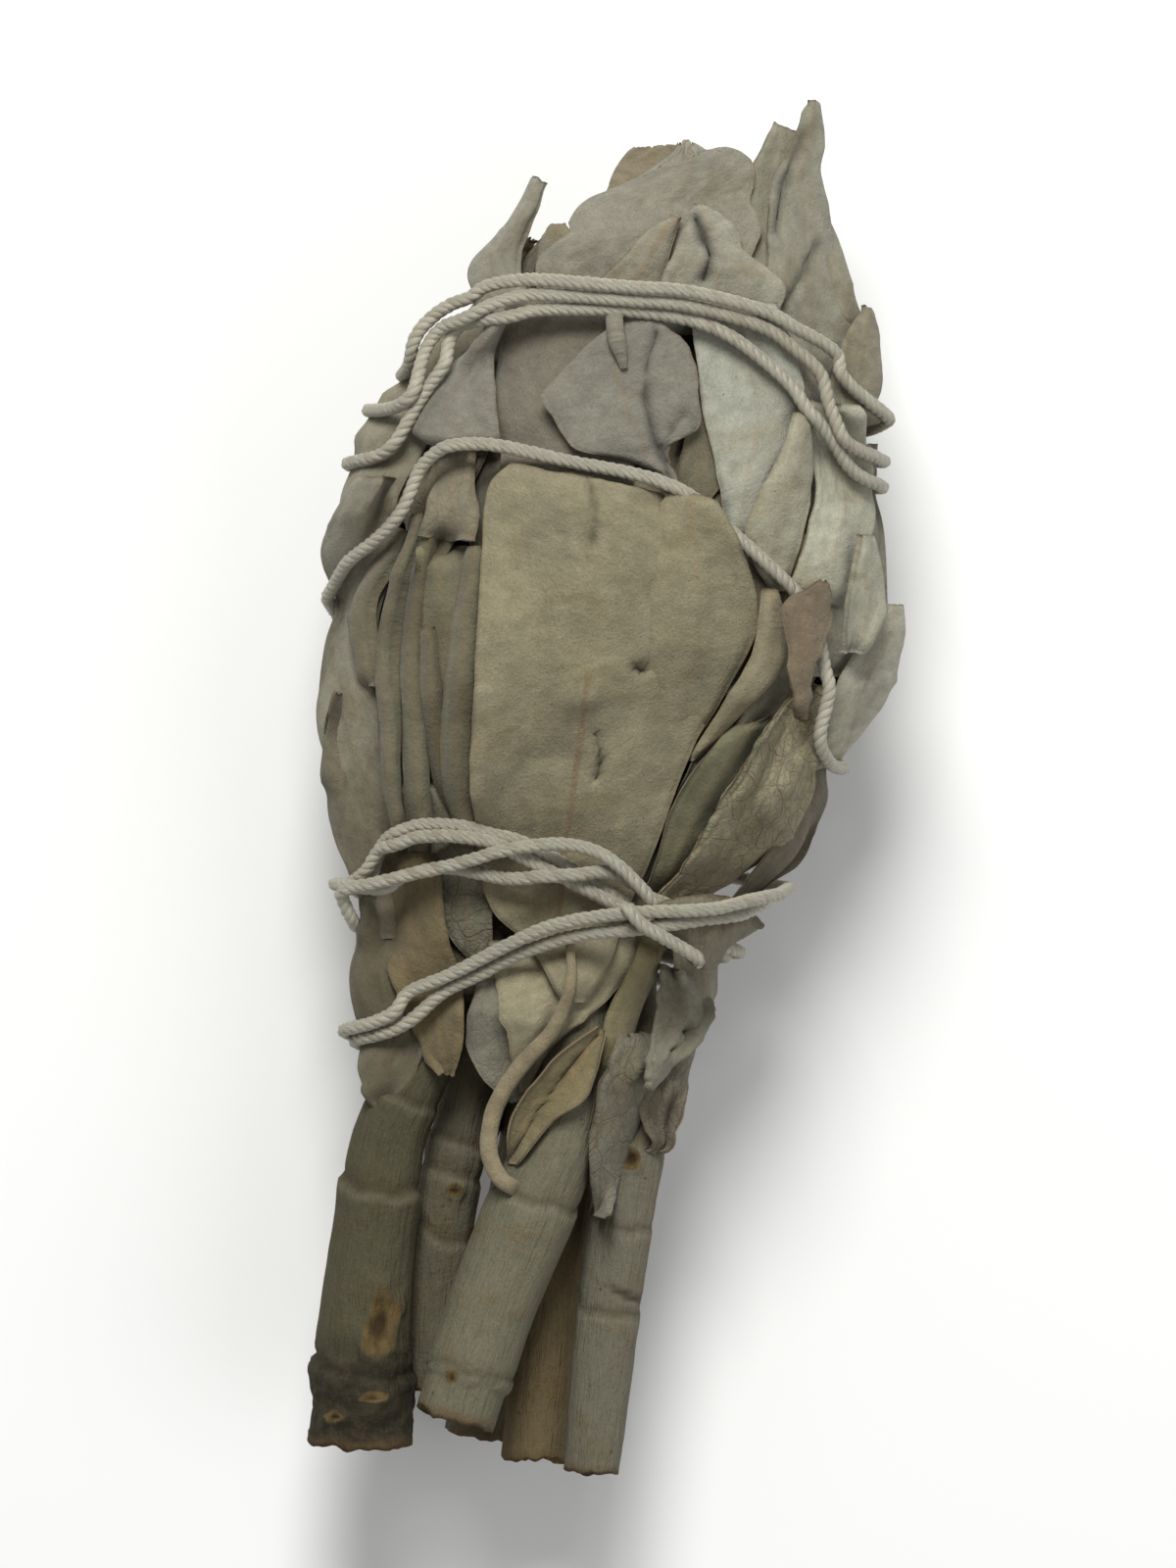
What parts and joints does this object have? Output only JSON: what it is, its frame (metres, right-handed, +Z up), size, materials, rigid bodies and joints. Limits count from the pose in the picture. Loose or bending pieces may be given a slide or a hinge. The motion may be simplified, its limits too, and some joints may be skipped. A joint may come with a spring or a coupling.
{
  "type": "dried sage bunch",
  "caption": "Bunch of dried white sage: cut woody stems with broad grey leaves folded over them, wound with white cotton string, lying on its back.",
  "frame": {"origin": "on the surface it lies on, under the middle of its bounding box", "axes": "+Y along the bunch from the cut stems to the leaf tips, +Z up from the surface, +X to the right of the side that faces up"},
  "size_m": [0.047, 0.1148, 0.0351],
  "materials": {
    "sage_leaf": "matt, felted",
    "sage_stem": "matt, ridged",
    "cotton_twine": "matt, twisted"
  },
  "bodies": {
    "root": {"inner_leaves": "sage_leaf", "leaf_back_1": "sage_leaf", "leaf_back_2": "sage_leaf", "leaf_back_3": "sage_leaf", "leaf_back_4": "sage_leaf", "leaf_back_5": "sage_leaf", "leaf_back_6": "sage_leaf", "leaf_back_7": "sage_leaf", "leaf_back_8": "sage_leaf", "leaf_dry_curl": "sage_leaf", "leaf_far_left": "sage_leaf", "leaf_far_left_low": "sage_leaf", "leaf_front_broad": "sage_leaf", "leaf_front_flap": "sage_leaf", "leaf_front_under": "sage_leaf", "leaf_left_crumple": "sage_leaf", "leaf_left_flap": "sage_leaf", "leaf_left_netted": "sage_leaf", "leaf_left_sheath": "sage_leaf", "leaf_left_vee": "sage_leaf", "leaf_low_gray": "sage_leaf", "leaf_low_netted": "sage_leaf", "leaf_mid_right_green": "sage_leaf", "leaf_mid_right_netted": "sage_leaf", "leaf_mid_right_rolled": "sage_leaf", "leaf_olive_strip": "sage_leaf", "leaf_pleat_1": "sage_leaf", "leaf_pleat_2": "sage_leaf", "leaf_pleat_3": "sage_leaf", "leaf_pleat_4": "sage_leaf", "leaf_pleat_5": "sage_leaf", "leaf_right_bean": "sage_leaf", "leaf_right_crumpled": "sage_leaf", "leaf_right_ear": "sage_leaf", "leaf_right_edge": "sage_leaf", "leaf_right_holed": "sage_leaf", "leaf_right_light": "sage_leaf", "leaf_right_low_small": "sage_leaf", "leaf_small_olive": "sage_leaf", "leaf_tan_hanging": "sage_leaf", "leaf_top_back": "sage_leaf", "leaf_top_broad": "sage_leaf", "leaf_top_folded": "sage_leaf", "leaf_top_rolled": "sage_leaf", "leaf_top_side": "sage_leaf", "leaf_top_tall": "sage_leaf", "leaf_top_tall_back": "sage_leaf", "leaf_top_wedge": "sage_leaf", "leaf_upper_mid": "sage_leaf", "leaf_upper_right_outer": "sage_leaf", "leaf_upper_right_slim": "sage_leaf", "leaf_upper_right_wide": "sage_leaf", "leaf_upper_torn": "sage_leaf", "stem_back": "sage_stem", "stem_front": "sage_stem", "stem_left": "sage_stem", "stem_mid_left": "sage_stem", "stem_right": "sage_stem", "stem_tan": "sage_stem", "twine": "cotton_twine"}
  },
  "joints": []
}
